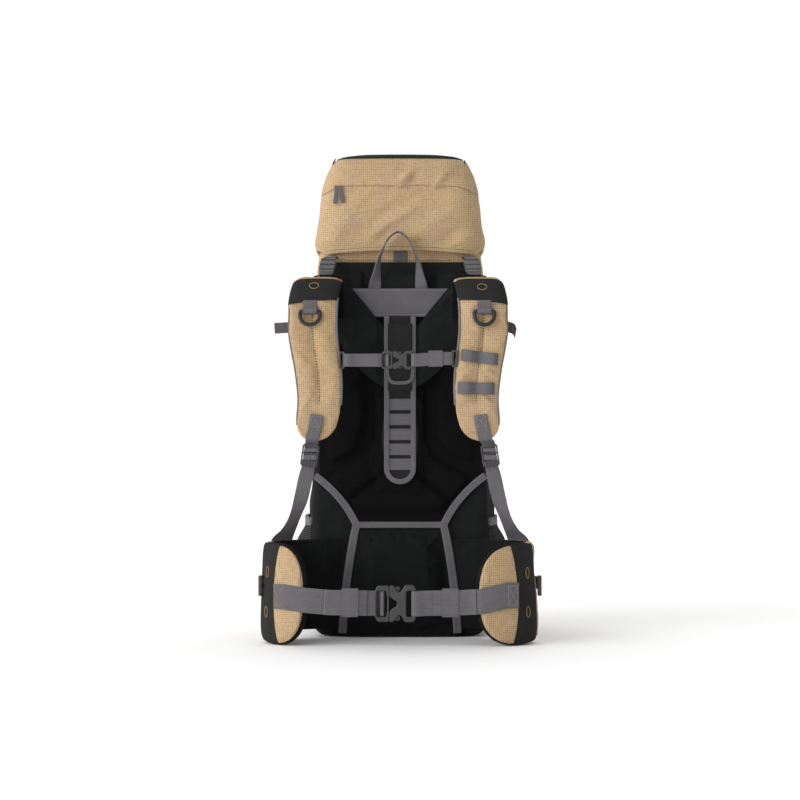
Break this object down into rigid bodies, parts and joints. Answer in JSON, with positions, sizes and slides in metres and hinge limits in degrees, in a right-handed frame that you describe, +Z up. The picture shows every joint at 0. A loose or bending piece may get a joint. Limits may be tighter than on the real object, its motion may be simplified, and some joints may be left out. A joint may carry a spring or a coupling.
{
  "type": "camping backpack",
  "caption": "Tall trekking backpack on its base, harness side forward: lidded tan cloth bag, padded shoulder straps, sternum strap and wrap-around hip belt with fastened buckles.",
  "frame": {"origin": "bottom centre of the outer box, on the floor that the base stands on", "axes": "+Z up, -Y the harness side that lies against the wearer's back, +X to the right of someone who looks at the harness"},
  "size_m": [0.428, 0.4067, 0.771],
  "materials": {
    "tan_cloth": "woven grid cloth, matte",
    "black_cloth": "plain cloth, matte",
    "black_mesh": "spacer mesh, matte",
    "dark_cloth": "plain cloth, matte",
    "grey_webbing": "woven webbing, matte",
    "black_plastic": "satin moulded"
  },
  "bodies": {
    "pack": {"bag_body": "tan_cloth", "lid_cap": "tan_cloth", "lid_floor": "tan_cloth", "shoulder_pad_left": "tan_cloth", "shoulder_pad_right": "tan_cloth", "belt_tip_left": "tan_cloth", "belt_tip_right": "tan_cloth", "bag_base": "black_cloth", "lid_top_panel": "black_cloth", "lumbar_pad": "black_cloth", "corner_panel_left": "black_cloth", "corner_panel_right": "black_cloth", "belt_wing_left": "black_cloth", "belt_wing_right": "black_cloth", "back_panel": "black_mesh", "side_pocket_left": "black_mesh", "side_pocket_right": "black_mesh", "yoke": "dark_cloth", "tongue": "dark_cloth", "strap_cap_left": "dark_cloth", "strap_cap_right": "dark_cloth", "belt_band_left": "dark_cloth", "belt_band_right": "dark_cloth", "zip_pull": "grey_webbing", "lid_tab": "grey_webbing", "seam_tape": "grey_webbing", "ladder": "grey_webbing", "haul_panel": "grey_webbing", "haul_loop": "grey_webbing", "d_ring_tab_left": "grey_webbing", "d_ring_tab_right": "grey_webbing", "strap_tail_left": "grey_webbing", "strap_tail_right": "grey_webbing", "lower_strap_left": "grey_webbing", "lower_strap_right": "grey_webbing", "elastic_loop_upper": "grey_webbing", "elastic_loop_lower": "grey_webbing", "load_lifter_left": "grey_webbing", "load_lifter_right": "grey_webbing", "sternum_web_left": "grey_webbing", "sternum_web_right": "grey_webbing", "sternum_slider_left": "grey_webbing", "stabiliser_left": "grey_webbing", "stabiliser_right": "grey_webbing", "hip_web_left": "grey_webbing", "hip_web_right": "grey_webbing", "side_strap_left": "grey_webbing", "side_strap_right": "grey_webbing", "ladder_lock_left": "black_plastic", "ladder_lock_right": "black_plastic", "lifter_lock_left": "black_plastic", "lifter_lock_right": "black_plastic", "sternum_plug": "black_plastic", "sternum_socket": "black_plastic", "sternum_slider_right": "black_plastic", "hip_plug": "black_plastic", "hip_socket": "black_plastic"},
    "d_ring_left": {"d_ring_left": "black_plastic"},
    "d_ring_right": {"d_ring_right": "black_plastic"}
  },
  "joints": [
    {"name": "d_ring_left_swing", "type": "hinge", "parent": "pack", "child": "d_ring_left", "pos_m": [-0.1365, -0.14526, 0.50871], "axis": [-1, 0, 0], "range_deg": [0, 150]},
    {"name": "d_ring_right_swing", "type": "hinge", "parent": "pack", "child": "d_ring_right", "pos_m": [0.1305, -0.14526, 0.50871], "axis": [-1, 0, 0], "range_deg": [0, 150]}
  ]
}
